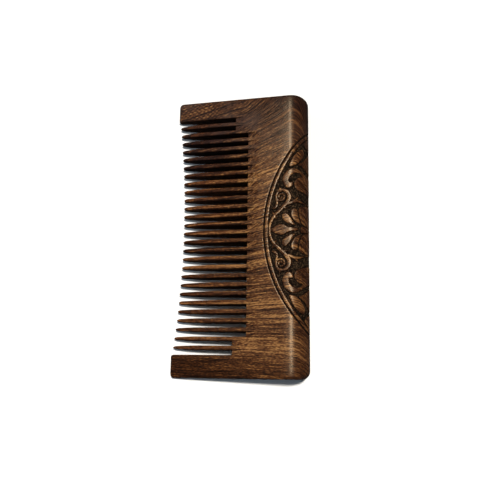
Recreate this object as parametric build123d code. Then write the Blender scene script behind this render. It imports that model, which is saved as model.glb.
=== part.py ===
"""Wide tooth comb, sawn and carved from one board of dark hardwood.

The comb lies on its lower face. X runs from the tooth tips to the rounded back, Y along the
comb, Z up from the surface it rests on. The origin is under the middle of its outline.
The blank is a wedge that is thin at the tips and half-round at the back. It is divided into
its named portions where the saw cuts end, and the portions meet face to face.
"""

import os
from math import cos, radians, sin, sqrt, tan

from build123d import *

# Driving dimensions, in millimetres and degrees
LENGTH = 106.0
WIDTH = 50.2
THICKNESS = 13.1
FACE_ANGLE = 13.4
BACK_CORNER = 3.0
TIP_CORNER = 1.0
EDGE_ROUND = 1.2

TOOTH_COUNT = 27
KERF = 1.8
UPPER_GUARD = 7.7
LOWER_GUARD = 8.3
TOOTH_DEPTH = 27.25
SHORT_CUTS = 2
SHORT_CUT_STEP = 4.9
END_TOOTH_SETBACK = 0.6
TIP_HOLLOW = 2.5
TIP_TAPER = 6.5
TIP_FULLNESS = (0.9, 0.5)
TOOTH_EDGE_ROUND = 0.3
RUNOUT_LENGTH = 3.3
RUNOUT_DEPTH = 1.1

MEDALLION_CENTRE = (59.9, 0.4)
MEDALLION_RADIUS = 51.66
RING_SPACING = 1.45
RING_GROOVE_WIDTH = 0.45
RING_GROOVE_DEPTH = 0.45
GROUND_RADIUS = 49.4
GROUND_DEPTH = 0.6
SCROLL_EYE = 0.4

# The raised motifs: the middle leaf as (x, length, width), then those that stand on both sides
# of the carving's middle line as (x, distance from it, length, width, turn) or (x, distance, radius)
MIDDLE_LEAF = (15.0, 8.0, 3.6)
SIDE_LEAVES = [
    (17.1, 3.7, 6.6, 2.3, -53),
    (20.1, 5.0, 6.2, 2.3, -62),
    (21.7, 16.4, 5.0, 3.2, 70),
    (20.4, 26.8, 7.6, 3.2, 51),
]
SCROLLS = [(14.5, 12.6, 2.0), (17.4, 19.4, 2.9)]

# How far cutting shapes reach past what they cut, and how near counts as on the same plane
SPARE = 1.0
NEAR = 0.01

# Worked out from them
BACK_RADIUS = THICKNESS / 2
BACK_X = WIDTH / 2
GUARD_END_X = -WIDTH / 2
BACK_CENTRE_X = BACK_X - BACK_RADIUS
APEX_X = BACK_CENTRE_X - BACK_RADIUS / tan(radians(FACE_ANGLE / 2))
ROOT_X = GUARD_END_X + TOOTH_DEPTH
SHORT_ROOT_X = ROOT_X - SHORT_CUT_STEP
UPPER_END = LENGTH / 2
LOWER_END = -LENGTH / 2
CUT_COUNT = TOOTH_COUNT + 1
FIRST_CUT_Y = UPPER_END - UPPER_GUARD - KERF / 2
LAST_CUT_Y = LOWER_END + LOWER_GUARD + KERF / 2
PITCH = (FIRST_CUT_Y - LAST_CUT_Y) / TOOTH_COUNT
TOOTH_WIDTH = PITCH - KERF
HALF_ANGLE = radians(FACE_ANGLE / 2)
MIDDLE_PLANE = Plane(origin=(APEX_X, 0, 0), z_dir=(-sin(HALF_ANGLE), 0, cos(HALF_ANGLE)))
UPWARD = (Align.CENTER, Align.CENTER, Align.MIN)


def face_height(x):
    """Height of the upper face over the lower one."""
    return (x - APEX_X) * tan(radians(FACE_ANGLE))


def cut_y(number):
    """Centre of a saw cut, counted from 0 at the upper guard."""
    return FIRST_CUT_Y - number * PITCH


def is_short(number):
    """The first and last cuts stop earlier than the rest."""
    return number < SHORT_CUTS or number >= CUT_COUNT - SHORT_CUTS


def cut_root(number):
    return SHORT_ROOT_X if is_short(number) else ROOT_X


def tip_x(y):
    """The tooth tips lie on a shallow hollow arc between the guards."""
    middle = (FIRST_CUT_Y + LAST_CUT_Y) / 2
    half_span = (FIRST_CUT_Y - LAST_CUT_Y - PITCH) / 2
    radius = (half_span**2 + TIP_HOLLOW**2) / (2 * TIP_HOLLOW)
    rise = sqrt(radius**2 - (y - middle) ** 2) - (radius - TIP_HOLLOW)
    return GUARD_END_X + END_TOOTH_SETBACK + rise


def wedge():
    """The board's cross-section, two flat faces and a half-round back, run along the comb."""
    angle = radians(FACE_ANGLE)
    touch_x = BACK_CENTRE_X - BACK_RADIUS * sin(angle)
    with BuildPart() as body:
        with BuildSketch(Plane.XZ):
            with BuildLine():
                Line((GUARD_END_X, 0), (BACK_CENTRE_X, 0))
                ThreePointArc(
                    (BACK_CENTRE_X, 0),
                    (BACK_X, BACK_RADIUS),
                    (touch_x, face_height(touch_x)),
                )
                Line((touch_x, face_height(touch_x)), (GUARD_END_X, face_height(GUARD_END_X)))
                Line((GUARD_END_X, face_height(GUARD_END_X)), (GUARD_END_X, 0))
            make_face()
        extrude(amount=LENGTH / 2, both=True)
    return body.part


def outline():
    """The comb's outline from above, as a tall prism with rounded corners."""
    with BuildPart() as body:
        with BuildSketch():
            Rectangle(WIDTH, LENGTH)
        extrude(amount=THICKNESS * 2, both=True)
        upright = body.edges().filter_by(Axis.Z)
        back_corners = upright.filter_by(lambda edge: edge.center().X > 0)
        fillet(back_corners, BACK_CORNER)
        upright = body.edges().filter_by(Axis.Z)
        tip_corners = upright.filter_by(lambda edge: edge.center().X < GUARD_END_X + NEAR)
        fillet(tip_corners, TIP_CORNER)
    return body.part


def blank():
    """The shaped board before the teeth are cut, with the rims of its two ends rounded over."""
    body = wedge()
    ends = [face for face in body.faces() if abs(face.center().Y) > LENGTH / 2 - NEAR]
    rims = [edge for face in ends for edge in face.edges() if edge.center().X > GUARD_END_X + NEAR]
    return body.fillet(EDGE_ROUND, rims) & outline()


def slab(x_from, x_to, y_from, y_to):
    """A tall box that takes one portion out of the blank."""
    centre = ((x_from + x_to) / 2, (y_from + y_to) / 2, 0)
    return Pos(*centre) * Box(x_to - x_from, y_to - y_from, 4 * THICKNESS)


def saw_runout(number):
    """The shallow groove that the saw leaves on both faces beyond the end of one cut."""
    root = cut_root(number)
    end = root + RUNOUT_LENGTH
    with BuildPart() as groove:
        with BuildSketch(Plane.XZ.offset(-cut_y(number))):
            with BuildLine():
                Polyline(
                    (root, face_height(root) - RUNOUT_DEPTH),
                    (end, face_height(end)),
                    (end, face_height(end) + SPARE),
                    (root, face_height(root) + SPARE),
                    close=True,
                )
            make_face()
            with BuildLine():
                Polyline(
                    (root, RUNOUT_DEPTH), (end, 0), (end, -SPARE), (root, -SPARE), close=True
                )
            make_face()
        extrude(amount=KERF / 2, both=True)
    return groove.part


def disc(radius):
    """A tall cylinder about the carving's centre, which lies beyond the back."""
    return Pos(*MEDALLION_CENTRE, THICKNESS / 2) * Cylinder(radius, 4 * THICKNESS)


def both_faces(prism, depth):
    """What carving a plan shape straight down to one depth takes away, on both faces alike."""
    upper_half = Pos(0, 0, BACK_RADIUS) * Box(2 * WIDTH, LENGTH, THICKNESS * 2, align=UPWARD)
    upper = (prism & upper_half) - Pos(0, 0, -depth) * wedge()
    return upper, mirror(upper, about=MIDDLE_PLANE)


def ring_band(radius):
    """The plan of one of the two thin lines that border the carving."""
    return disc(radius + RING_GROOVE_WIDTH / 2) - disc(radius - RING_GROOVE_WIDTH / 2)


def petal(x, y, length, width, angle):
    """A raised leaf of the carving, seen from above."""
    shape = Pos(x, y) * Rot(0, 0, angle) * Ellipse(length / 2, width / 2)
    return Pos(0, 0, -THICKNESS) * extrude(shape, 3 * THICKNESS)


def scroll(x, y, radius):
    """A raised curl of the carving with its sunken eye, seen from above."""
    shape = Pos(x, y) * (Circle(radius) - Circle(radius * SCROLL_EYE))
    return Pos(0, 0, -THICKNESS) * extrude(shape, 3 * THICKNESS)


def motifs():
    """The raised leaves and scrolls, mirrored about the middle of the carving."""
    middle = MEDALLION_CENTRE[1]
    x, length, width = MIDDLE_LEAF
    shapes = [petal(x, middle, length, width, 0)]
    for side in (1, -1):
        for x, distance, length, width, turn in SIDE_LEAVES:
            shapes.append(petal(x, middle + side * distance, length, width, side * turn))
        for x, distance, radius in SCROLLS:
            shapes.append(scroll(x, middle + side * distance, radius))
    return shapes


def field():
    """The plan of the sunken ground around the leaves and scrolls."""
    ground = disc(GROUND_RADIUS)
    for shape in motifs():
        ground -= shape
    return ground


def back(board):
    """The thick back with its rounded spine, the saw run-outs and the carving."""
    part = board & slab(ROOT_X, BACK_X + SPARE, LOWER_END - SPARE, UPPER_END + SPARE)
    for number in range(CUT_COUNT):
        part -= saw_runout(number)
    for radius in (MEDALLION_RADIUS, MEDALLION_RADIUS - RING_SPACING):
        for cutter in both_faces(ring_band(radius), RING_GROOVE_DEPTH):
            part -= cutter
    for cutter in both_faces(field(), GROUND_DEPTH):
        part -= cutter
    return part


def shoulder(board, side):
    """The block at one end that the short saw cuts leave standing between guard and back."""
    inner_cut = SHORT_CUTS if side > 0 else CUT_COUNT - 1 - SHORT_CUTS
    inner_y = cut_y(inner_cut) + side * KERF / 2
    low, high = sorted((inner_y, side * (UPPER_END + SPARE)))
    part = board & slab(SHORT_ROOT_X, ROOT_X, low, high)
    short_cuts = range(SHORT_CUTS) if side > 0 else range(CUT_COUNT - SHORT_CUTS, CUT_COUNT)
    for number in short_cuts:
        part -= saw_runout(number)
    return part


def guard(board, side):
    """The wide solid tooth that closes one end of the row."""
    first_cut = 0 if side > 0 else CUT_COUNT - 1
    inner_y = cut_y(first_cut) + side * KERF / 2
    low, high = sorted((inner_y, side * (UPPER_END + SPARE)))
    return board & slab(GUARD_END_X - SPARE, SHORT_ROOT_X, low, high)


def tooth(number):
    """One tooth, counted from 1 at the upper guard: parallel sides, then a narrow rounded tip."""
    y = (cut_y(number - 1) + cut_y(number)) / 2
    tip = tip_x(y)
    root = min(cut_root(number - 1), cut_root(number))
    half = TOOTH_WIDTH / 2
    bend_x = tip + TIP_TAPER
    with BuildPart() as plan:
        with BuildSketch(Plane.XY.offset(-SPARE)):
            with BuildLine():
                Line((root, y + half), (bend_x, y + half))
                for side in (1, -1):
                    Spline(
                        (bend_x, y + side * half),
                        (tip, y),
                        tangents=[(-1, 0), (0, -side)],
                        tangent_scalars=TIP_FULLNESS,
                    )
                Line((bend_x, y - half), (root, y - half))
                Line((root, y - half), (root, y + half))
            make_face()
        extrude(amount=THICKNESS + 2 * SPARE)
    part = wedge() & plan.part
    by_height = part.faces().sort_by(Axis.Z)
    rims = [
        edge
        for face in (by_height[0], by_height[-1])
        for edge in face.edges()
        if edge.center().X < root - NEAR
    ]
    return part.fillet(TOOTH_EDGE_ROUND, rims)


def write(name, part):
    part.label = name
    export_step(part, f"parts/{name}.step")


os.makedirs("parts", exist_ok=True)
board = blank()
write("back", back(board))
write("upper_shoulder", shoulder(board, 1))
write("lower_shoulder", shoulder(board, -1))
write("upper_guard", guard(board, 1))
write("lower_guard", guard(board, -1))
for number in range(1, TOOTH_COUNT + 1):
    write(f"tooth_{number:02d}", tooth(number))
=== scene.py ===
"""Wide tooth comb of dark figured hardwood, on a pale floor under soft studio light.

Every piece is one named portion of a single sawn and carved board, so all of them share one
wood whose grain runs on from piece to piece. Shapes are worked out in millimetres in the
model's own frame and turned into metres when a mesh is made.
"""

import math

import bmesh
import bpy
import numpy as np
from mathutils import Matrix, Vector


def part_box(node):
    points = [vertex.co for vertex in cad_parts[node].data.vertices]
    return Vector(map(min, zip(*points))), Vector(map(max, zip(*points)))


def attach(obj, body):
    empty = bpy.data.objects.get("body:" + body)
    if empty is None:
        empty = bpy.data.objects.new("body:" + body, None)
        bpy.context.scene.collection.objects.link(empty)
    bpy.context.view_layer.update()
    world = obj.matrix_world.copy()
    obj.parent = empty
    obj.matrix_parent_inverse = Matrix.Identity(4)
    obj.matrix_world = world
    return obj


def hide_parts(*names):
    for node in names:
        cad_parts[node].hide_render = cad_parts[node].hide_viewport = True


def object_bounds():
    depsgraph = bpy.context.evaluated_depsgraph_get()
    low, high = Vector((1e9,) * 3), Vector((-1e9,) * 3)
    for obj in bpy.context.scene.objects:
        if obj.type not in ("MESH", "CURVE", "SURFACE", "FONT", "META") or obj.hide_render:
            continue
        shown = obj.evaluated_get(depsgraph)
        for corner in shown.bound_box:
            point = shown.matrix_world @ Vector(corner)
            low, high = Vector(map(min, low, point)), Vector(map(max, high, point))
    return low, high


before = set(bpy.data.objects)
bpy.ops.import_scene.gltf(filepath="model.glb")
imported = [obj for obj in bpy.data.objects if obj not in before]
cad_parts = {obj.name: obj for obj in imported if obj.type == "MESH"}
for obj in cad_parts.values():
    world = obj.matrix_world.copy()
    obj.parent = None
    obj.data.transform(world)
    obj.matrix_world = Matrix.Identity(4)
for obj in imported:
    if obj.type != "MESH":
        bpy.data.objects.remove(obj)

cad_low, cad_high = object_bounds()

MM = 0.001
SCENE = bpy.context.scene
rng = np.random.default_rng(27)


# ---------------------------------------------------------------- the board, in millimetres


def node_box(name):
    """The low and high corners of a CAD node's box, in millimetres."""
    low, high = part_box(name)
    return np.array(low) / MM, np.array(high) / MM


BACK_LOW, BACK_HIGH = node_box("back")
ROOT_X = BACK_LOW[0]
BACK_X = BACK_HIGH[0]
END_Y = BACK_HIGH[1]
THICKNESS = BACK_HIGH[2]
SHORT_ROOT_X = node_box("upper_shoulder")[0][0]

FACE_ANGLE = math.radians(13.4)
HALF_ANGLE = FACE_ANGLE / 2
SPINE_RADIUS = THICKNESS / 2
SPINE_X = BACK_X - SPINE_RADIUS
APEX_X = SPINE_X - SPINE_RADIUS / math.tan(HALF_ANGLE)
TOUCH_X = SPINE_X - SPINE_RADIUS * math.sin(FACE_ANGLE)

TOOTH_NAMES = sorted(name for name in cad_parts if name.startswith("tooth_"))
TOOTH_BOXES = [node_box(name) for name in TOOTH_NAMES]
TOOTH_Y = [(low[1] + high[1]) / 2 for low, high in TOOTH_BOXES]
PITCH = (TOOTH_Y[0] - TOOTH_Y[-1]) / (len(TOOTH_Y) - 1)
CUT_Y = [TOOTH_Y[0] + PITCH / 2 - number * PITCH for number in range(len(TOOTH_Y) + 1)]
KERF = 2 * (node_box("upper_guard")[0][1] - CUT_Y[0])
TOOTH_WIDTH = PITCH - KERF
SHORT_CUTS = (0, 1, len(CUT_Y) - 2, len(CUT_Y) - 1)

# Two places that are nearer than this count as one. INNER_Y lies just beyond the outermost cuts.
NEAR = 0.01
INNER_Y = CUT_Y[0] + KERF / 2 + NEAR

# The rim is rounded all along both ends, and more so at the corners of the spine
RIM_RADIUS = 1.2
CORNER_RADIUS = 3.0
CORNER_BLEND = 1.5

# The saw's grooves: how far they run on, how deep they start, how far into them their side walls
# begin and how soon those fall away, and how far beyond them the board's outline has fine steps
RUNOUT_LENGTH = 3.3
RUNOUT_DEPTH = 0.8
RUNOUT_WALL_START = 0.12
RUNOUT_WALL_RUN = 0.14
RUNOUT_MARGIN = 0.1


def face_height(x):
    """Height of the board's upper face over its lower one."""
    return (x - APEX_X) * math.tan(FACE_ANGLE)


def smooth(value):
    """The usual smooth step from 0 to 1."""
    t = np.clip(value, 0.0, 1.0)
    return t * t * (3 - 2 * t)


# ---------------------------------------------------------------- mesh making

SHARP_ANGLE = math.radians(38)


def finish_piece(piece, node):
    """Smooth shading with crisp edges, the wood, and the node and body that the piece stands for."""
    piece.data.shade_smooth()
    piece.data.set_sharp_from_angle(angle=SHARP_ANGLE)
    piece.data.materials.append(wood)
    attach(piece, "root")
    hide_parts(node)


def loft(name, loops, stain=None):
    """A closed mesh through a row of equal closed loops, given in millimetres.

    loops is stations x points x 3. stain is how dark the carving's ground is at each point.
    """
    stations, count, _ = loops.shape
    index = np.arange(stations * count).reshape(stations, count)
    along = np.roll(index, -1, axis=1)
    quads = np.stack([index[:-1], index[1:], along[1:], along[:-1]], axis=-1).reshape(-1, 4)
    faces = quads.tolist() + [index[0].tolist(), index[-1][::-1].tolist()]
    mesh = bpy.data.meshes.new(name)
    mesh.from_pydata((loops.reshape(-1, 3) * MM).tolist(), [], faces)
    if stain is not None:
        layer = mesh.attributes.new("stain", "FLOAT", "POINT")
        layer.data.foreach_set("value", stain.astype(np.float32).ravel())
    shape = bmesh.new()
    shape.from_mesh(mesh)
    bmesh.ops.recalc_face_normals(shape, faces=shape.faces)
    shape.to_mesh(mesh)
    shape.free()
    piece = bpy.data.objects.new(name, mesh)
    SCENE.collection.objects.link(piece)
    return piece


# ---------------------------------------------------------------- the carving

# The carving is drawn in plan. Its border is an engraved circle with a plain band inside it, and
# within the band lies the sunken ground with raised scrollwork. Lengths are in millimetres.
CARVING_X = 59.9
CARVING_Y = 0.4
CARVING_RADIUS = 51.66
LINE_DEPTH = 0.5
LINE_FLAT = 0.08
LINE_SLOPE = 0.34
LINE_STAIN_SLOPE = 0.46
GROUND_RADIUS = 50.25
GROUND_DEPTH = 0.62

# How far onto the band the relief reaches, how soon it fades there, and how far out it is worked
# out at all. The scrollwork is drawn a little nearer to the back than it is carved.
BAND_EDGE = 0.5
BAND_EDGE_RUN = 0.3
FIELD_MARGIN = 0.6
DRAWING_SHIFT = 0.2

# A distance beyond anything drawn, and one too small to divide by
FAR = 9.0
TINY = 1e-9

# Straight steps that stand for the curve between two drawn points
STROKE_STEPS = 8
OUTLINE_STEPS = 6

# The walls of the raised forms, their rounded edges, the groove at their feet and how much darker the
# ground is made there, and the veins cut into them
WALL_START = 0.12
WALL_RUN = 0.34
CROWN_DEPTH = 0.04
CROWN_WIDTH = 0.25
FOOT_DEPTH = 0.12
FOOT_PLACE = 0.25
FOOT_WIDTH = 0.2
OPEN_STAIN = 0.72
FOOT_DARK_START = 0.1
FOOT_DARK_WIDTH = 0.3
VEIN_DEPTH = 0.2
VEIN_RUN = 0.22
VEIN_STAIN = 0.55


def spline(points, steps, closed=False):
    """Points on a smooth line through a few given ones, with so many steps between each two."""
    points = np.array(points, float)
    if closed:
        padded = np.vstack([points[-1:], points, points[:2]])
    else:
        padded = np.vstack([2 * points[0] - points[1], points, 2 * points[-1] - points[-2]])
    rows = []
    for p0, p1, p2, p3 in zip(padded, padded[1:], padded[2:], padded[3:]):
        for t in np.arange(steps) / steps:
            bend = 2 * p0 - 5 * p1 + 4 * p2 - p3
            cubic = 3 * p1 - p0 - 3 * p2 + p3
            rows.append(p1 + 0.5 * t * ((p2 - p0) + t * (bend + t * cubic)))
    if not closed:
        rows.append(points[-1])
    return np.array(rows)


def segment_distance(x, v, start, end):
    """Distance from each point to a segment, and how far along it the nearest point lies."""
    run = end - start
    square = max(run @ run, TINY)
    t = np.clip(((x - start[0]) * run[0] + (v - start[1]) * run[1]) / square, 0, 1)
    return np.hypot(x - start[0] - t * run[0], v - start[1] - t * run[1]), t


def inside_stroke(x, v, points):
    """How deep each point lies inside a stroke, negative outside it."""
    line = spline(points, STROKE_STEPS)
    depth = np.full(x.shape, -FAR)
    for a, b in zip(line, line[1:]):
        distance, t = segment_distance(x, v, a[:2], b[:2])
        depth = np.maximum(depth, (a[2] + t * (b[2] - a[2])) / 2 - distance)
    return depth


def inside_outline(x, v, points):
    """How deep each point lies inside a closed smooth outline, negative outside it."""
    line = spline(points, OUTLINE_STEPS, closed=True)
    distance = np.full(x.shape, FAR)
    within = np.zeros(x.shape, bool)
    for a, b in zip(line, np.roll(line, -1, axis=0)):
        distance = np.minimum(distance, segment_distance(x, v, a, b)[0])
        spans = (a[1] > v) != (b[1] > v)
        rise = b[1] - a[1] if b[1] != a[1] else 1.0
        within ^= spans & (x < a[0] + (v - a[1]) * (b[0] - a[0]) / rise)
    return np.where(within, distance, -distance)


# Scrollwork on one side of the middle line, in millimetres. v is the distance from that line.
# Strokes are (x, v, width) along their middle, and outlines are (x, v) round their edge.
STEM = [
    (10.5, 0.0, 0.95), (10.55, 1.7, 0.95), (11.1, 3.4, 1.0), (12.1, 5.2, 1.1), (13.6, 6.7, 1.15),
    (15.0, 8.2, 1.2), (16.5, 9.8, 1.35), (17.5, 11.5, 1.5), (17.3, 13.4, 1.4), (15.9, 14.8, 1.1),
    (14.3, 14.9, 1.0), (13.2, 13.9, 0.9), (12.8, 12.0, 0.8), (13.2, 10.0, 0.8),
    (12.6, 8.5, 1.05), (11.5, 8.0, 0.5),
]
SPIKES = [
    [(14.4, 14.7, 1.1), (14.1, 15.6, 0.6), (14.0, 16.5, 0.1)],
    [(11.9, 5.1, 0.9), (12.6, 4.4, 0.6), (13.5, 3.9, 0.1)],
    [(12.4, 5.6, 0.9), (11.6, 6.4, 0.6), (11.3, 7.3, 0.1)],
    [(15.0, 8.3, 0.8), (16.4, 8.0, 0.6), (17.6, 7.9, 0.1)],
    [(16.3, 9.5, 0.9), (18.0, 9.9, 1.0), (19.5, 10.7, 1.0), (21.1, 12.3, 0.1)],
    [(18.6, 10.2, 0.9), (20.4, 10.5, 0.9), (21.8, 10.3, 0.7), (24.4, 9.4, 0.4)],
]
VOLUTE_CENTRE = (14.5, 12.4)
VOLUTE_RADII = (1.75, 0.35)
VOLUTE_TURNS = 1.5
VOLUTE_WIDTHS = (0.72, 0.60)
VOLUTE_STEPS = 14
SCROLL = [
    (17.2, 15.6), (16.1, 16.3), (15.35, 17.5), (15.1, 18.9), (15.4, 20.4), (16.5, 22.0),
    (18.1, 23.05), (20.0, 23.1), (21.9, 22.2), (23.4, 21.0), (25.5, 19.6), (24.2, 19.4),
    (22.5, 20.1), (21.7, 20.9), (20.3, 21.4), (18.8, 20.9), (17.75, 19.8), (17.35, 18.5),
    (18.0, 17.9), (18.7, 18.0), (18.95, 17.2), (18.4, 16.1),
]
LOBE = [
    (19.3, 17.0), (19.9, 15.4), (21.0, 14.6), (23.4, 13.8), (25.5, 13.4), (25.8, 16.5),
    (25.5, 19.8), (23.6, 20.2), (22.3, 20.0), (21.0, 19.6), (19.9, 18.6),
]
LEAF = [
    (17.5, 24.0), (18.1, 25.9), (19.1, 27.8), (20.6, 29.5), (22.4, 30.9), (23.2, 29.7),
    (23.1, 28.3), (22.1, 26.6), (20.8, 25.1), (19.3, 24.2),
]
EDGE_LEAF = [
    (20.9, 24.6), (22.2, 23.9), (23.6, 22.9), (25.5, 21.6), (25.8, 25.6), (25.5, 29.6),
    (24.4, 28.5), (23.4, 26.9), (22.3, 25.7),
]
TOP_LEAF = [(23.0, 33.0), (23.8, 31.8), (25.5, 31.0), (25.8, 33.5), (25.5, 36.5), (24.0, 34.5)]
PETAL_ONE = [
    (15.05, 5.6), (16.2, 6.3), (17.4, 5.2), (18.5, 3.6), (19.7, 1.6), (17.5, 2.05),
    (15.8, 3.2), (15.0, 4.4),
]
PETAL_TWO = [
    (18.4, 7.3), (19.6, 7.85), (20.6, 6.8), (20.85, 4.8), (21.7, 1.9), (19.9, 2.8),
    (18.6, 4.3), (18.1, 6.0),
]
EDGE_PETAL = [
    (21.2, 8.0), (20.95, 6.0), (21.5, 4.1), (22.3, 2.2), (25.5, 1.0), (25.8, 5.0), (25.5, 8.8),
    (22.8, 8.8),
]
HEART = [
    (11.0, 0.0), (12.4, 1.3), (14.1, 1.95), (15.8, 1.75), (17.0, 1.05), (18.6, 0.75),
    (20.7, 0.3), (20.7, -0.3), (18.6, -0.75), (17.0, -1.05), (15.8, -1.75), (14.1, -1.95),
    (12.4, -1.3),
]
SEED = [(21.7, 0.0), (22.3, 1.2), (25.5, 0.6), (25.8, 0.0), (25.5, -0.6), (22.3, -1.2)]
VEINS = [
    [(20.4, 16.9, 0.3), (21.6, 16.0, 0.35), (23.5, 15.4, 0.3), (25.0, 15.2, 0.2)],
    [(20.9, 18.2, 0.3), (22.2, 17.5, 0.35), (24.6, 17.0, 0.2)],
    [(22.0, 7.4, 0.25), (22.2, 5.4, 0.3), (23.2, 3.2, 0.2)],
    [(23.4, 8.0, 0.25), (23.6, 5.8, 0.3), (24.4, 3.8, 0.2)],
]
STROKES = [STEM, *SPIKES]
OUTLINES = [
    SCROLL, LOBE, LEAF, EDGE_LEAF, TOP_LEAF, PETAL_ONE, PETAL_TWO, EDGE_PETAL, HEART, SEED,
]


def volute():
    """The stroke of the small spiral, from its outer end to its eye."""
    radius = np.linspace(*VOLUTE_RADII, VOLUTE_STEPS)
    width = np.linspace(*VOLUTE_WIDTHS, VOLUTE_STEPS)
    turn = math.pi + 2 * math.pi * VOLUTE_TURNS * np.linspace(0, 1, VOLUTE_STEPS)
    x = VOLUTE_CENTRE[0] + radius * np.cos(turn)
    v = VOLUTE_CENTRE[1] + radius * np.sin(turn)
    return np.stack([x, v, width], axis=-1)


def scrollwork(x, v):
    """How deep each point lies inside the raised forms, negative on the ground between them."""
    inside = np.full(x.shape, -FAR)
    for stroke in STROKES + [volute()]:
        inside = np.maximum(inside, inside_stroke(x, v, stroke))
    for outline in OUTLINES:
        inside = np.maximum(inside, inside_outline(x, v, outline))
    return inside


def relief(x, y):
    """How deep the carving goes below the board's face, and how dark its ground is, at each point."""
    v = np.abs(y - CARVING_Y)
    radius = np.hypot(x - CARVING_X, v)
    off_line = np.abs(radius - CARVING_RADIUS) - LINE_FLAT
    depth = LINE_DEPTH * (1 - smooth(off_line / LINE_SLOPE))
    stain = 1 - smooth(off_line / LINE_STAIN_SLOPE)

    field = radius < GROUND_RADIUS + FIELD_MARGIN
    x, v, radius = x[field] + DRAWING_SHIFT, v[field], radius[field]
    raised = np.maximum(scrollwork(x, v), radius - GROUND_RADIUS)
    sunk = 1 - smooth((raised + WALL_START) / WALL_RUN)
    crown = CROWN_DEPTH * np.exp(-np.maximum(raised, 0) / CROWN_WIDTH) * (1 - sunk)
    groove = FOOT_DEPTH * np.exp(-((raised + FOOT_PLACE) / FOOT_WIDTH) ** 2)
    cut = GROUND_DEPTH * sunk + crown + groove
    at_foot = np.exp(-np.maximum(-raised - FOOT_DARK_START, 0) / FOOT_DARK_WIDTH)
    dark = sunk * (OPEN_STAIN + (1 - OPEN_STAIN) * at_foot)
    for vein in VEINS:
        crease = smooth((inside_stroke(x, v, vein) + WALL_START) / VEIN_RUN) * (1 - sunk)
        cut = cut + VEIN_DEPTH * crease
        dark = np.maximum(dark, VEIN_STAIN * crease)
    inside_band = smooth((GROUND_RADIUS + BAND_EDGE - radius) / BAND_EDGE_RUN)
    depth[field] = np.maximum(depth[field], cut * inside_band)
    stain[field] = np.maximum(stain[field], dark * inside_band)
    return depth, stain


# ---------------------------------------------------------------- back and shoulders

# Steps between the points of the board's outline
FINE = 0.2
GROOVED_STEP = 0.25
PLAIN_STEP = 0.8
UNDER_FACE_STEP = 2 * FINE
UNDER_SPINE_STEP = 1.3 * FINE

# Steps between the board's sections along Y. Plain wood has only every third of them, and all
# keep clear of a portion's ends and of the rounded corners.
COLUMN = PITCH / 16
PLAIN_STRIDE = 3
RIM_STEPS = 9
SECTION_MARGIN = 0.05
CORNER_MARGIN = 0.1

# Where the fine steps for the carving are: half their length along Y, and the X they start at
CARVED_HALF_LENGTH = 38.5
CARVED_X = CARVING_X - CARVING_RADIUS - 1.2

# How far the carving goes straight in where the spine faces away, for each millimetre it is deep
SPINE_CUT = 0.12


def spaced(start, end, step):
    """Evenly spaced values from start up to but not including end."""
    count = max(1, round(abs(end - start) / step))
    return start + (end - start) * np.arange(count) / count


def spine_row(angle, side):
    """One row of the round spine, as (x, z, inwards in x and z, plan x, side, cut in x and z).

    The plan x is where the row lies in the carving's drawing, and side is 1 on the upper half and
    -1 on the lower one. The carving is cut down into the upper half and up into the lower one, and
    a little inwards as the spine turns away.
    """
    out_x, out_z = math.cos(angle), math.sin(angle)
    x = SPINE_X + SPINE_RADIUS * out_x
    z = SPINE_RADIUS * (1 + out_z)
    plan_angle = angle if side > 0 else FACE_ANGLE - angle
    plan_x = SPINE_X + SPINE_RADIUS * math.cos(plan_angle)
    down = smooth(SPINE_RADIUS * math.sin(plan_angle - HALF_ANGLE))
    cut_x = -SPINE_CUT * max(0.0, out_x)
    cut_z = -down
    if side < 0:
        cut_x -= down * math.sin(FACE_ANGLE)
        cut_z = down * math.cos(FACE_ANGLE)
    return x, z, -out_x, -out_z, plan_x, side, cut_x, cut_z


def board_profile(x_from, x_to):
    """The board's closed outline seen from its end, as rows like those of spine_row.

    It runs along the lower face, round the spine if the portion reaches it, and back along the
    upper face to where it began.
    """
    has_spine = x_to > TOUCH_X
    plain_to = min(CARVED_X, x_to)
    grooved_to = min(x_from + RUNOUT_LENGTH + RUNOUT_MARGIN, plain_to)
    grooved = spaced(x_from, grooved_to, GROOVED_STEP)
    start = np.concatenate([grooved, spaced(grooved_to, plain_to, PLAIN_STEP)])
    carved_low = spaced(plain_to, SPINE_X, UNDER_FACE_STEP) if has_spine else [x_to]
    carved_high = np.append(spaced(plain_to, TOUCH_X, FINE), TOUCH_X) if has_spine else [x_to]
    rows = []
    for x in np.concatenate([start, carved_low]):
        plan_x = APEX_X + (x - APEX_X) * math.cos(FACE_ANGLE)
        rows.append((x, 0.0, 0.0, 1.0, plan_x, -1, -math.sin(FACE_ANGLE), math.cos(FACE_ANGLE)))
    if has_spine:
        bottom = spaced(-math.pi / 2, HALF_ANGLE, UNDER_SPINE_STEP / SPINE_RADIUS)
        top = spaced(HALF_ANGLE, math.pi / 2 + FACE_ANGLE, FINE / SPINE_RADIUS)
        rows += [spine_row(angle, -1) for angle in bottom]
        rows += [spine_row(angle, 1) for angle in top]
    for x in np.concatenate([start, carved_high])[::-1]:
        lean = FACE_ANGLE * smooth((x - ROOT_X) / (TOUCH_X - ROOT_X))
        rows.append((x, face_height(x), math.sin(lean), -math.cos(lean), x, 1, 0.0, -1.0))
    return np.array(rows)


def runout(x, y):
    """Depth of the grooves that the saw leaves beyond the ends of the cuts."""
    depth = np.zeros(np.broadcast(x, y).shape)
    for number, cut in enumerate(CUT_Y):
        root = SHORT_ROOT_X if number in SHORT_CUTS else ROOT_X
        off_wall = np.abs(y - cut) - KERF / 2
        across = 1 - smooth((off_wall + RUNOUT_WALL_START) / RUNOUT_WALL_RUN)
        fall = np.clip(1 - (x - root) / RUNOUT_LENGTH, 0, 1)
        depth = np.maximum(depth, RUNOUT_DEPTH * fall * across)
    return depth


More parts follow.
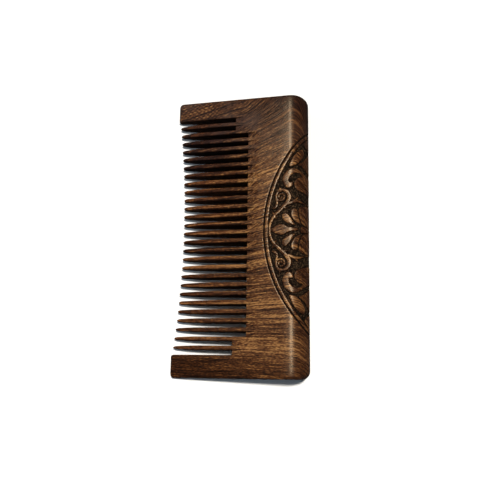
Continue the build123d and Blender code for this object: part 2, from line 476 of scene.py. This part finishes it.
def section_places(y_from, y_to):
    """Where the board's sections stand along Y: close together on the carving and at the cuts."""
    first = math.ceil((y_from - CUT_Y[0]) / COLUMN)
    last = math.floor((y_to - CUT_Y[0]) / COLUMN)
    values = CUT_Y[0] + (np.arange(first, last) + 0.5) * COLUMN
    keep = np.arange(len(values)) % PLAIN_STRIDE == 0
    keep |= np.abs(values - CARVING_Y) < CARVED_HALF_LENGTH
    for cut in CUT_Y:
        keep |= np.abs(np.abs(values - cut) - KERF / 2) < COLUMN
    return values[keep]


def rim_sections(radius, side):
    """Sections that round the rim at the upper end (1) or lower end (-1): their y, and inset."""
    for turn in np.radians(np.linspace(0, 90, RIM_STEPS)):
        yield side * (END_Y - radius * (1 - math.cos(turn))), radius * (1 - math.sin(turn))


def board_sections(radius, y_from, y_to):
    """All sections of a portion of the board: their y and inset at each point of the outline.

    radius is how much the rim is rounded at each of those points, where the portion reaches an end
    of the board.
    """
    flat = np.zeros(len(radius))
    low, high = y_from + SECTION_MARGIN, y_to - SECTION_MARGIN
    first, last = [(y_from + flat, flat)], [(y_to + flat, flat)]
    if y_from < -END_Y + NEAR:
        low = -END_Y + CORNER_RADIUS + CORNER_MARGIN
        first = list(rim_sections(radius, -1))
    if y_to > END_Y - NEAR:
        high = END_Y - CORNER_RADIUS - CORNER_MARGIN
        last = list(rim_sections(radius, 1))[::-1]
    middle = [(y + flat, flat) for y in section_places(low, high)]
    sections = first + middle + last
    return np.array([place for place, _ in sections]), np.array([inset for _, inset in sections])


def board_part(node, x_from, x_to, y_from, y_to):
    """A portion of the board, rounded where it reaches the board's ends."""
    x, z, in_x, in_z, plan_x, side, cut_x, cut_z = board_profile(x_from, x_to).T
    at_spine = np.clip(-in_x, 0, 1) ** CORNER_BLEND
    radius = RIM_RADIUS + (CORNER_RADIUS - RIM_RADIUS) * at_spine
    y, inset = board_sections(radius, y_from, y_to)
    plan_x = np.broadcast_to(plan_x, y.shape)
    carved, stain = relief(plan_x, y)
    sawn = np.where(inset > 0, 0.0, runout(np.broadcast_to(x, y.shape), y))
    move_x = inset * in_x + carved * cut_x
    move_z = inset * in_z + carved * cut_z - sawn * side
    loops = np.stack([x + move_x, y, z + move_z], axis=-1)
    finish_piece(loft(f"{node}_wood", loops, stain), node)


# ---------------------------------------------------------------- guards and teeth

TOOTH_EDGE = 0.45

# A tooth's tip seen from above, and how far its two faces draw in towards it
TIP_LENGTH = 1.6
TIP_DROP_LENGTH = 7.0
TIP_DROP = 1.15

# Shares of a tooth's width: what it loses towards the tip, and gains in the middle
TAPER_LENGTH = 9.0
TAPER = 0.20
SWELL = 0.08

# Small differences between handmade teeth, in the place of the tip and in the width
TIP_SCATTER = 0.1
WIDTH_SCATTER = 0.02

# A guard's rounded tip: its length, and how far the faces and the inner side draw in
GUARD_TIP = 1.3
GUARD_RISE = 0.6
GUARD_INNER_DRAW = 0.5

CORNER_POINTS = 6
LARGEST_CORNER = 0.49

# Sections of a tooth or guard: close together over its end, then evenly spaced to its root
END_LENGTH = 7.0
END_SECTIONS = 20
FIRST_SECTION = 0.02
LONG_SECTIONS = 14


def cross_section(x, y_low, y_high, z_low, z_high, radius_low, radius_high):
    """A rounded rectangle across the comb at one x. The radii are those of its two sides in Y."""
    most = LARGEST_CORNER * min(y_high - y_low, z_high - z_low)
    radius_low, radius_high = min(radius_low, most), min(radius_high, most)
    corners = [
        (y_low + radius_low, z_low + radius_low, radius_low, 180),
        (y_high - radius_high, z_low + radius_high, radius_high, 270),
        (y_high - radius_high, z_high - radius_high, radius_high, 0),
        (y_low + radius_low, z_high - radius_low, radius_low, 90),
    ]
    loop = []
    for y, z, radius, start in corners:
        for angle in np.radians(start + np.linspace(0, 90, CORNER_POINTS)):
            loop.append((x, y + radius * math.cos(angle), z + radius * math.sin(angle)))
    return loop


def nose(distance, length, depth):
    """How far a rounded end has drawn in at a distance from its very tip."""
    reach = max(0.0, 1 - distance / length)
    return depth * (1 - math.sqrt(1 - reach * reach))


def tip_stations(length):
    """Distances from the tip where sections stand."""
    near = END_LENGTH * np.linspace(FIRST_SECTION, 1, END_SECTIONS) ** 2
    return np.concatenate([near, np.linspace(END_LENGTH, length, LONG_SECTIONS)[1:]])


def guard(node, side):
    """One of the two wide end teeth, rounded like the board's rim outside and crisper inside."""
    low, high = node_box(node)
    inner = low[1] if side > 0 else high[1]
    radii = (TOOTH_EDGE, RIM_RADIUS) if side > 0 else (RIM_RADIUS, TOOTH_EDGE)
    loops = []
    for distance in tip_stations(SHORT_ROOT_X - low[0]):
        x = low[0] + distance
        drawn = nose(distance, GUARD_TIP, GUARD_TIP)
        y_low, y_high = sorted((side * (END_Y - drawn), inner + side * GUARD_INNER_DRAW * drawn))
        rise = GUARD_RISE * drawn
        loops.append(cross_section(x, y_low, y_high, rise, face_height(x) - rise, *radii))
    finish_piece(loft(f"{node}_wood", np.array(loops)), node)


def tooth(node):
    """A slender tooth: a little fuller in the middle, then narrowing to a rounded tip."""
    low, high = node_box(node)
    middle = (low[1] + high[1]) / 2
    tip = low[0] + rng.uniform(0.0, TIP_SCATTER)
    length = high[0] - tip
    fullness = 1 + rng.uniform(-WIDTH_SCATTER, WIDTH_SCATTER)
    loops = []
    for distance in tip_stations(length):
        x = tip + distance
        slim = 1 - TAPER + TAPER * smooth(distance / TAPER_LENGTH)
        swell = 1 + SWELL * math.sin(math.pi * min(1.0, distance / length)) ** 2
        half = TOOTH_WIDTH / 2 * fullness * slim * swell * (1 - nose(distance, TIP_LENGTH, 1))
        drawn = nose(distance, TIP_DROP_LENGTH, TIP_DROP)
        y_low, y_high = middle - half, middle + half
        z_high = face_height(x) - drawn
        loops.append(cross_section(x, y_low, y_high, drawn, z_high, TOOTH_EDGE, TOOTH_EDGE))
    finish_piece(loft(f"{node}_wood", np.array(loops)), node)


# ---------------------------------------------------------------- shader nodes


class Graph:
    """Short ways to add shader nodes to a material or a world."""

    def __init__(self, owner):
        self.tree = owner.node_tree
        self.tree.nodes.clear()

    def node(self, kind, inputs=None, **settings):
        """A new node. An input is either another node's output or a plain value."""
        made = self.tree.nodes.new(kind)
        for name, value in settings.items():
            setattr(made, name, value)
        for key, value in (inputs or {}).items():
            if isinstance(value, bpy.types.NodeSocket):
                self.tree.links.new(value, made.inputs[key])
            else:
                made.inputs[key].default_value = value
        return made

    def math(self, operation, *values):
        return self.node("ShaderNodeMath", dict(enumerate(values)), operation=operation).outputs[0]

    def vector(self, operation, *values, output="Vector"):
        inputs = dict(enumerate(values))
        return self.node("ShaderNodeVectorMath", inputs, operation=operation).outputs[output]

    def ramp(self, value, low, high, start=0.0, end=1.0, curve="SMOOTHSTEP"):
        """value from low..high turned into start..end, smoothly and held at the ends."""
        inputs = {0: value, 1: low, 2: high, 3: start, 4: end}
        return self.node("ShaderNodeMapRange", inputs, interpolation_type=curve).outputs[0]

    def noise(self, place, scale=1.0, detail=2.0, roughness=0.5):
        inputs = {"Vector": place, "Scale": scale, "Detail": detail, "Roughness": roughness}
        return self.node("ShaderNodeTexNoise", inputs).outputs["Fac"]

    def line_noise(self, value, scale, detail, roughness):
        """Noise along a single value, which gives bands."""
        inputs = {"W": value, "Scale": scale, "Detail": detail, "Roughness": roughness}
        return self.node("ShaderNodeTexNoise", inputs, noise_dimensions="1D").outputs["Fac"]

    def swing(self, value, amount):
        """Noise turned into a change of up to about half the amount, either way."""
        return self.math("MULTIPLY", self.math("SUBTRACT", value, 0.5), amount)

    def chart(self, value, stops):
        """The colour that stands at value on a chart of (position, colour) stops."""
        made = self.node("ShaderNodeValToRGB", {0: value})
        elements = made.color_ramp.elements
        for element, (position, colour) in zip(elements, (stops[0], stops[-1])):
            element.position, element.color = position, colour
        for position, colour in stops[1:-1]:
            elements.new(position).color = colour
        return made.outputs["Color"]

    def mix(self, factor, first, second, blend="MIX"):
        """Two colours mixed. Inputs 6 and 7 and output 2 are the ones that carry colours."""
        inputs = {0: factor, 6: first, 7: second}
        return self.node("ShaderNodeMix", inputs, data_type="RGBA", blend_type=blend).outputs[2]

    def tinted(self, colour, mask, tint):
        """The colour multiplied by a tint where the mask is 1."""
        return self.mix(mask, colour, self.mix(1.0, colour, tint, "MULTIPLY"))


def rgb(red, green, blue):
    return (red, green, blue, 1.0)


def grey(level):
    return rgb(level, level, level)


# ---------------------------------------------------------------- the wood

PITH_Y = 67.0
PITH_Z = -54.0

# The board's growth rings, as (distance from the pith in mm, tone from dark to golden)
GROWTH_RINGS = [
    (60.0, 0.46), (67.5, 0.38), (69.5, 0.36), (71.2, 0.64), (72.5, 0.50), (77.0, 0.58),
    (79.5, 0.66), (80.3, 0.44), (82.0, 0.68), (83.0, 0.42), (84.0, 0.82), (85.0, 0.48),
    (86.3, 0.72), (88.0, 0.50), (92.0, 0.68), (94.0, 0.46), (95.6, 0.66), (98.0, 0.30),
    (98.8, 0.80), (100.4, 0.44), (101.6, 1.00), (103.7, 0.40), (107.6, 0.60), (110.5, 0.50),
    (114.2, 0.80), (116.2, 0.50), (117.5, 0.74), (120.8, 0.46), (124.2, 0.68), (129.2, 0.66),
    (131.0, 0.52), (134.5, 0.42),
]
FIRST_RING = GROWTH_RINGS[0][0]
LAST_RING = GROWTH_RINGS[-1][0]

# Thin golden lines among the rings, as (distance from the pith in mm, strength)
GOLD_LINES = [
    (79.2, 0.8), (79.9, 1.0), (98.8, 0.5), (101.6, 0.7), (114.2, 0.5), (117.5, 0.4), (124.2, 0.4),
]
GOLD_HALF_WIDTH = 0.24

# The wood's colours, as (tone, colour)
TONES = [
    (0.0, rgb(0.0045, 0.0016, 0.0009)), (0.25, rgb(0.020, 0.0069, 0.0027)),
    (0.45, rgb(0.036, 0.0128, 0.0047)), (0.6, rgb(0.056, 0.0206, 0.0074)),
    (0.78, rgb(0.092, 0.0368, 0.0122)), (1.0, rgb(0.195, 0.0920, 0.0300)),
]
GREYED_WOOD = rgb(0.045, 0.030, 0.026)
GREYED_SHARE = 0.55
PORE_COLOUR = rgb(0.007, 0.0035, 0.0025)
PORE_SHARE = 0.8
# Painted shade: this darkens the sawn walls between the teeth
SAWN_WALL_SHADE = grey(0.6)

# The carving's ground: the pits and tops of its stipple, and the foot of the raised forms
GROUND_LOW = rgb(0.0030, 0.0020, 0.0013)
GROUND_HIGH = rgb(0.052, 0.031, 0.017)
GROUND_FOOT = rgb(0.003, 0.002, 0.002)
STIPPLE_SCALE = 1.9

# How fine each noise is, in features per millimetre along the comb's X, Y and Z
WANDER = (0.03, 0.04, 0.04)
RIPPLE = (0.12, 0.2, 0.2)
GREY_PATCHES = (0.06, 0.11, 0.11)
SPECKS = (1.3, 2.2, 2.2)

# The same for noises that follow the grain: along it, across it and up through the board
FIBRE = (0.03, 1.6, 0.04)
FINE_FIBRE = (0.16, 3.0, 0.2)
GRIT = (1.1, 3.6, 1.2)
PORES = (0.6, 3.2, 0.8)

# Bands along the spread of the rings, as scale, detail and roughness
BANDS = (1.8, 2.0, 0.7)

# How much each noise changes the radius in mm, or the tone, and what the golden lines add to it
WANDER_SWING = 1.6
RIPPLE_SWING = 0.4
BAND_SWING = 1.1
FIBRE_SWING = 0.9
FINE_SWING = 1.4
GRIT_SWING = 0.9
GOLD_GAIN = 0.6

# The woven figure's two crossing ripples, as (radians per millimetre along X, Y and Z, height)
RISING = ((-4.2, 4.2, 0.0), 0.16)
FALLING = ((2.9, 4.0, 0.0), 0.12)

# The rings bend away over the teeth, from BEND_X to the tips. Towards the lower end they lean
# against the rest, about the line at LEAN_X, so that the figure runs straighter there.
BEND_X = 1.0
BEND_SLOPE = 0.15
LEAN_X = 8.0
LEAN_SLOPE = -0.17

# How rough the polished wood is, what matt wood and the spine add, and how glossy both are
POLISH = (0.15, 0.21)
MATT_ROUGHNESS = 0.55
SPINE_ROUGHNESS = 0.11
GLOSS = 0.4
MATT_GLOSS = 0.04

# How high each layer stands in the bump, and the bump's own strength and height
FINE_HEIGHT = 0.5
FIBRE_HEIGHT = 0.4
PORE_DEPTH = 0.6
STIPPLE_HEIGHT = 3.0
BUMP_STRENGTH = 0.3
BUMP_HEIGHT = 0.015 * MM


def ring_position(distance):
    """Where a distance from the pith lies between the first ring, at 0, and the last, at 1."""
    return (distance - FIRST_RING) / (LAST_RING - FIRST_RING)


def ring_stops():
    """Chart stops for the tones of the growth rings."""
    return [(ring_position(distance), grey(tone)) for distance, tone in GROWTH_RINGS]


def gold_stops():
    """Chart stops for the narrow peaks of the golden lines."""
    stops = []
    for distance, strength in GOLD_LINES:
        for step, height in ((-GOLD_HALF_WIDTH, 0.0), (0.0, strength), (GOLD_HALF_WIDTH, 0.0)):
            stops.append((ring_position(distance + step), grey(height)))
    return stops


class Wood(Graph):
    """The parts that the hardwood's material is put together from.

    place is where a point lies on the comb in millimetres, and x, y and z are its three parts.
    radius is the distance from the pith, with the bends that the board has. spread is like it, but
    changes about evenly over the faces, so that fine lines stay fine. The limits of the ramps
    along x, y and radius are in millimetres too.
    """

    def __init__(self, owner):
        super().__init__(owner)
        metres = self.node("ShaderNodeTexCoord").outputs["Object"]
        self.place = self.vector("MULTIPLY", metres, (1 / MM, 1 / MM, 1 / MM))
        self.x, self.y, self.z = self.node("ShaderNodeSeparateXYZ", {0: self.place}).outputs
        self.from_middle = self.math("ABSOLUTE", self.y)
        radius = self.bent_radius()
        radius_squared = self.math("MULTIPLY", radius, radius)
        self.spread = self.math("SQRT", self.math("SUBTRACT", radius_squared, PITH_Z ** 2))
        ripple = self.swing(self.noise(self.stretched(RIPPLE), detail=0.0), RIPPLE_SWING)
        self.radius = self.math("ADD", radius, ripple)

    def bent_radius(self):
        """The distance from the pith, with the slow bends that the rings have."""
        from_pith = self.vector("SUBTRACT", self.place, (0, PITH_Y, PITH_Z))
        across = self.vector("MULTIPLY", from_pith, (0, 1, 1))
        radius = self.vector("LENGTH", across, output="Value")
        over_teeth = self.math("MAXIMUM", self.math("SUBTRACT", BEND_X, self.x), 0.0)
        radius = self.math("ADD", radius, self.math("MULTIPLY", over_teeth, BEND_SLOPE))
        lean = self.ramp(self.y, -45.0, 5.0, LEAN_SLOPE, 0.0)
        beyond = self.math("SUBTRACT", self.math("MAXIMUM", self.x, BEND_X), LEAN_X)
        radius = self.math("ADD", radius, self.math("MULTIPLY", lean, beyond))
        wander = self.swing(self.noise(self.stretched(WANDER), detail=0.0), WANDER_SWING)
        return self.math("ADD", radius, wander)

    def stretched(self, scales):
        """The place on the comb, scaled for a noise that is that fine."""
        return self.vector("MULTIPLY", self.place, scales)

    def along_grain(self, scales):
        """The same, drawn out along the lines that the rings make on the faces."""
        grain = self.node("ShaderNodeCombineXYZ", {0: self.x, 1: self.spread, 2: self.z}).outputs[0]
        return self.vector("MULTIPLY", grain, scales)

    def ripples(self, direction, height):
        """Even ripples that follow one another in a direction."""
        phase = self.vector("DOT_PRODUCT", self.place, direction, output="Value")
        return self.math("MULTIPLY", self.math("SINE", phase), height)

    def woven_figure(self):
        """Two crossing sets of fine ripples, on the upper guard only."""
        crossed = self.math("ADD", self.ripples(*RISING), self.ripples(*FALLING))
        where = self.math("MULTIPLY", self.ramp(self.x, -6.0, -12.0), self.ramp(self.y, 44.5, 46.5))
        return self.math("MULTIPLY", crossed, where)

    def tone(self, fibre, fine):
        """How light the wood is: its rings, with bands, fibres, golden lines and grit."""
        ring_place = self.ramp(self.radius, FIRST_RING, LAST_RING, curve="LINEAR")
        bands = self.line_noise(self.spread, *BANDS)
        grit = self.noise(self.along_grain(GRIT), detail=0.0)
        layers = [
            self.swing(bands, BAND_SWING),
            self.swing(fibre, FIBRE_SWING),
            self.math("MULTIPLY", self.chart(ring_place, gold_stops()), GOLD_GAIN),
            self.woven_figure(),
            self.swing(fine, FINE_SWING),
            self.swing(grit, GRIT_SWING),
        ]
        tone = self.chart(ring_place, ring_stops())
        for layer in layers:
            tone = self.math("ADD", tone, layer)
        return tone

    def greyed(self, colour):
        """The colour with dull grey patches, strongest in the wood nearest to the pith."""
        patches = self.noise(self.stretched(GREY_PATCHES), detail=2.0)
        patches = self.ramp(patches, 0.40, 0.62, 0.4, 1.0)
        inner_wood = self.ramp(self.radius, 78.0, 69.0, 0.1, 0.85)
        dull = self.mix(GREYED_SHARE, colour, GREYED_WOOD)
        return self.mix(self.math("MULTIPLY", patches, inner_wood), colour, dull)

    def zones(self):
        """The parts of the board that are darker or cooler than the rest, as (mask, tint). On the
        teeth, the upper teeth, the lower end and the spine this is painted shade.
        """
        x, y = self.x, self.y
        between_guards = self.math("LESS_THAN", self.from_middle, INNER_Y)
        # Painted shade: the teeth darken towards their tips
        teeth = self.math("MULTIPLY", self.ramp(x, 6.0, -16.0), between_guards)
        # Painted shade, cool and dark, over the teeth of the upper half
        upper_teeth_shade = self.ramp(self.math("ABSOLUTE", self.math("SUBTRACT", y, 31.0)), 9.5, 4.0)
        upper_teeth_shade = self.math("MULTIPLY", upper_teeth_shade, self.ramp(x, 2.0, -6.0))
        # Painted shade towards the lower end of the board
        lower_end_shade = self.math("MULTIPLY", self.ramp(y, -44.0, -46.5), self.ramp(x, 8.0, -15.0))
        upper_end = self.math("MULTIPLY", self.ramp(y, 28.0, 44.0), self.ramp(x, 1.0, 10.0))
        outer_wood = self.ramp(self.radius, 128.0, 133.5)
        # Painted shade where the round back turns away from the light
        spine = self.ramp(x, 17.0, 23.0)
        return [
            (teeth, rgb(0.82, 0.70, 0.68)),
            (upper_teeth_shade, rgb(0.55, 0.55, 0.64)),
            (lower_end_shade, rgb(0.56, 0.50, 0.45)),
            (outer_wood, rgb(0.86, 0.80, 0.70)),
            (spine, rgb(0.60, 0.55, 0.52)),
            (upper_end, rgb(0.66, 0.59, 0.57)),
        ]

    def pore_marks(self):
        """Short dark pores along the grain, with a few specks."""
        pores = self.ramp(self.noise(self.along_grain(PORES), detail=0.0), 0.60, 0.70)
        specks = self.ramp(self.noise(self.stretched(SPECKS), detail=0.0), 0.74, 0.80)
        return self.math("MAXIMUM", self.math("MULTIPLY", pores, 0.7), specks)

    def sawn_faces(self):
        """1 on the rough faces that the saw left, which face along Y, and 0 on the polished wood.
        They are matt, and are also painted darker as shade between the teeth.
        """
        normal = self.node("ShaderNodeNewGeometry").outputs["Normal"]
        turned = self.node("ShaderNodeSeparateXYZ", {0: normal}).outputs[1]
        sideways = self.ramp(self.math("ABSOLUTE", turned), 0.6, 0.95)
        inside_ends = self.math("LESS_THAN", self.from_middle, END_Y - CORNER_RADIUS)
        return self.math("MULTIPLY", sideways, inside_ends)

    def carved_ground(self, stain, stipple):
        """The colour of the carving's stippled ground, darkest at the foot of the raised forms."""
        ground = self.mix(self.ramp(stipple, 0.48, 0.70), GROUND_LOW, GROUND_HIGH)
        return self.mix(self.ramp(stain, 0.78, 1.0), ground, GROUND_FOOT)

    def roughness(self, fine, matt):
        """Oiled wood, rougher where it is matt and towards the spine."""
        rough = self.ramp(fine, 0.3, 0.7, *POLISH)
        rough = self.math("ADD", rough, self.math("MULTIPLY", matt, MATT_ROUGHNESS))
        return self.math("ADD", rough, self.ramp(self.x, 14.5, 17.5, 0.0, SPINE_ROUGHNESS))

    def bumps(self, fine, fibre, marks, stippling):
        """The normal of a surface with raised fibres, sunk pores and stippled ground."""
        sunk = self.math("MULTIPLY", marks, PORE_DEPTH)
        height = self.math("SUBTRACT", self.math("MULTIPLY", fine, FINE_HEIGHT), sunk)
        height = self.math("ADD", height, self.math("MULTIPLY", fibre, FIBRE_HEIGHT))
        height = self.math("ADD", height, self.math("MULTIPLY", stippling, STIPPLE_HEIGHT))
        inputs = {"Height": height, "Strength": BUMP_STRENGTH, "Distance": BUMP_HEIGHT}
        return self.node("ShaderNodeBump", inputs).outputs["Normal"]


def make_wood():
    """Dark, oily, figured hardwood: rings about a pith beyond the comb, fibres along its teeth."""
    material = bpy.data.materials.new("figured_hardwood")
    material.use_nodes = True
    g = Wood(material)
    fibre = g.noise(g.along_grain(FIBRE), detail=1.0, roughness=0.7)
    fine = g.noise(g.along_grain(FINE_FIBRE), detail=1.0, roughness=0.8)
    marks = g.pore_marks()
    sawn = g.sawn_faces()
    stain = g.node("ShaderNodeAttribute", attribute_name="stain").outputs["Fac"]
    stipple = g.noise(g.place, STIPPLE_SCALE, roughness=0.6)

    colour = g.greyed(g.chart(g.tone(fibre, fine), TONES))
    for mask, tint in g.zones():
        colour = g.tinted(colour, mask, tint)
    colour = g.mix(g.math("MULTIPLY", marks, PORE_SHARE), colour, PORE_COLOUR)
    # Painted shade on the sawn walls between the teeth
    colour = g.tinted(colour, sawn, SAWN_WALL_SHADE)
    colour = g.mix(g.ramp(stain, 0.22, 0.68), colour, g.carved_ground(stain, stipple))

    matt = g.math("MAXIMUM", sawn, g.ramp(stain, 0.0, 0.2))
    surface = g.node("ShaderNodeBsdfPrincipled", {
        "Base Color": colour,
        "Roughness": g.roughness(fine, matt),
        "Normal": g.bumps(fine, fibre, marks, g.math("MULTIPLY", stipple, stain)),
        "Specular IOR Level": g.ramp(matt, 0.0, 1.0, GLOSS, MATT_GLOSS),
    })
    g.node("ShaderNodeOutputMaterial", {"Surface": surface.outputs[0]})
    return material


# ---------------------------------------------------------------- pieces

wood = make_wood()
board_part("back", ROOT_X, BACK_X, -END_Y, END_Y)
board_part("upper_shoulder", SHORT_ROOT_X, ROOT_X, CUT_Y[2] + KERF / 2, END_Y)
board_part("lower_shoulder", SHORT_ROOT_X, ROOT_X, -END_Y, CUT_Y[-3] - KERF / 2)
guard("upper_guard", 1)
guard("lower_guard", -1)
for name in TOOTH_NAMES:
    tooth(name)


# ---------------------------------------------------------------- floor, light and camera

FLOOR_HALF = 4.0
FLOOR_DARK = rgb(0.61, 0.607, 0.60)
FLOOR_LIGHT = rgb(0.64, 0.637, 0.63)
ROOM_FILL = rgb(0.042, 0.048, 0.060)
ROOM_REFLECTED = grey(0.04)
ROOM_SEEN = grey(1.0)


def make_floor():
    """A pale matt table top under the comb."""
    material = bpy.data.materials.new("pale_floor")
    material.use_nodes = True
    g = Graph(material)
    place = g.node("ShaderNodeTexCoord").outputs["Object"]
    mottle = g.noise(place, 3.0)
    colour = g.mix(g.ramp(mottle, 0.3, 0.7), FLOOR_DARK, FLOOR_LIGHT)
    surface = g.node("ShaderNodeBsdfPrincipled", {"Base Color": colour, "Roughness": 0.7})
    g.node("ShaderNodeOutputMaterial", {"Surface": surface.outputs[0]})
    mesh = bpy.data.meshes.new("floor")
    corners = [(-1, -1), (1, -1), (1, 1), (-1, 1)]
    places = [(x * FLOOR_HALF, y * FLOOR_HALF, cad_low.z) for x, y in corners]
    mesh.from_pydata(places, [], [(0, 1, 2, 3)])
    floor = bpy.data.objects.new("floor", mesh)
    mesh.materials.append(material)
    SCENE.collection.objects.link(floor)
    floor.visible_glossy = False


def light(name, kind, turn, power, colour):
    """A light that faces down before it is turned by the given degrees about X, Y and Z."""
    data = bpy.data.lights.new(name, kind)
    data.energy = power
    data.color = colour
    made = bpy.data.objects.new(name, data)
    made.rotation_euler = [math.radians(angle) for angle in turn]
    SCENE.collection.objects.link(made)
    return made


def area_light(name, place, turn, size, power, colour):
    """A soft rectangular light. Its size is across its own X and Y."""
    made = light(name, "AREA", turn, power, colour)
    made.location = place
    made.data.shape = "RECTANGLE"
    made.data.size, made.data.size_y = size
    return made


def make_world():
    """An even room: white to the camera, and otherwise a dim cool fill that reflects as grey."""
    world = bpy.data.worlds.new("studio")
    world.use_nodes = True
    g = Graph(world)
    rays = g.node("ShaderNodeLightPath").outputs
    fill = g.mix(rays["Is Glossy Ray"], ROOM_FILL, ROOM_REFLECTED)
    colour = g.mix(rays["Is Camera Ray"], fill, ROOM_SEEN)
    background = g.node("ShaderNodeBackground", {"Color": colour})
    g.node("ShaderNodeOutputWorld", {"Surface": background.outputs[0]})
    SCENE.world = world


def make_lights():
    """A wide warm key from above, a strip that only the wood's sheen shows, and a cool side fill."""
    key = light("key", "SUN", turn=(-10.5, 5.5, 0), power=5.7, colour=(1.0, 0.965, 0.90))
    key.data.angle = math.radians(6.5)
    key.visible_glossy = False
    strip = area_light(
        "strip", place=(-0.064, 0.115, 0.5), turn=(0, 0, 21), size=(0.12, 0.29), power=2.7,
        colour=(1.0, 0.77, 0.50),
    )
    strip.visible_diffuse = False
    fill = area_light(
        "fill", place=(-0.6, 0.0, 0.25), turn=(0, -67, 0), size=(0.25, 0.8), power=3.2,
        colour=(0.7, 0.85, 1.0),
    )
    fill.visible_glossy = False


def make_camera():
    """A hand-held view from above the lower end of the comb."""
    data = bpy.data.cameras.new("camera")
    data.lens = 48.0
    data.sensor_width = 36.0
    data.clip_start, data.clip_end = 0.01, 50.0
    camera = bpy.data.objects.new("camera", data)
    camera.location = (0.00214, -0.05272, 0.2389)
    camera.rotation_euler = [math.radians(angle) for angle in (12.19, 0.47, 0.875)]
    SCENE.collection.objects.link(camera)
    SCENE.camera = camera


make_floor()
make_lights()
make_world()
make_camera()
SCENE.view_settings.view_transform = "Standard"
